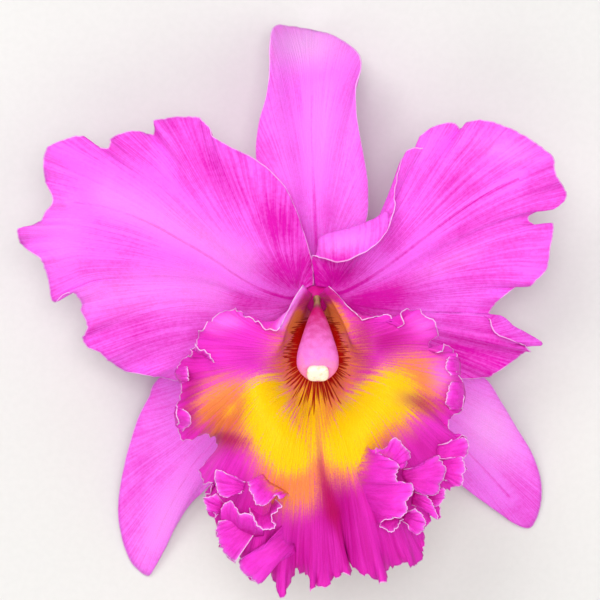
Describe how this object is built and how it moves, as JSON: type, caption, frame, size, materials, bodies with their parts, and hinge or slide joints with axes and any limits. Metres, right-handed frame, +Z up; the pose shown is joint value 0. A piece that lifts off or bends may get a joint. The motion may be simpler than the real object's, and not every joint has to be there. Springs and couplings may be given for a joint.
{
  "type": "cattleya orchid bloom",
  "caption": "Picked orchid bloom lying face up on its sepal tips: three sepals, two broad waved petals, a ruffled trumpet lip round a column with a cap, and a short curved stalk",
  "frame": {"origin": "middle of the bloom's bounding box at the surface that it lies on", "axes": "+Z up, out of the face of the bloom; +Y towards the tip of the dorsal sepal; +X towards the right petal as the bloom is looked at"},
  "size_m": [0.1628, 0.1736, 0.0691],
  "materials": {
    "sepal": "satin plant tissue, rose magenta",
    "petal": "satin plant tissue, magenta with fine veins",
    "lip": "satin plant tissue, magenta with a yellow throat and dark red streaks",
    "column": "waxy plant tissue, pink",
    "anther_cap": "waxy plant tissue, ivory",
    "pollen": "waxy pollen, yellow",
    "stem": "matte plant tissue, green"
  },
  "bodies": {
    "root": {"dorsal_sepal": "sepal", "lateral_sepal_left": "sepal", "lateral_sepal_right": "sepal", "petal_left": "petal", "petal_right": "petal", "lip": "lip", "column": "column", "anther_cap": "anther_cap", "pollinia": "pollen", "ovary_stem": "stem"}
  },
  "joints": []
}
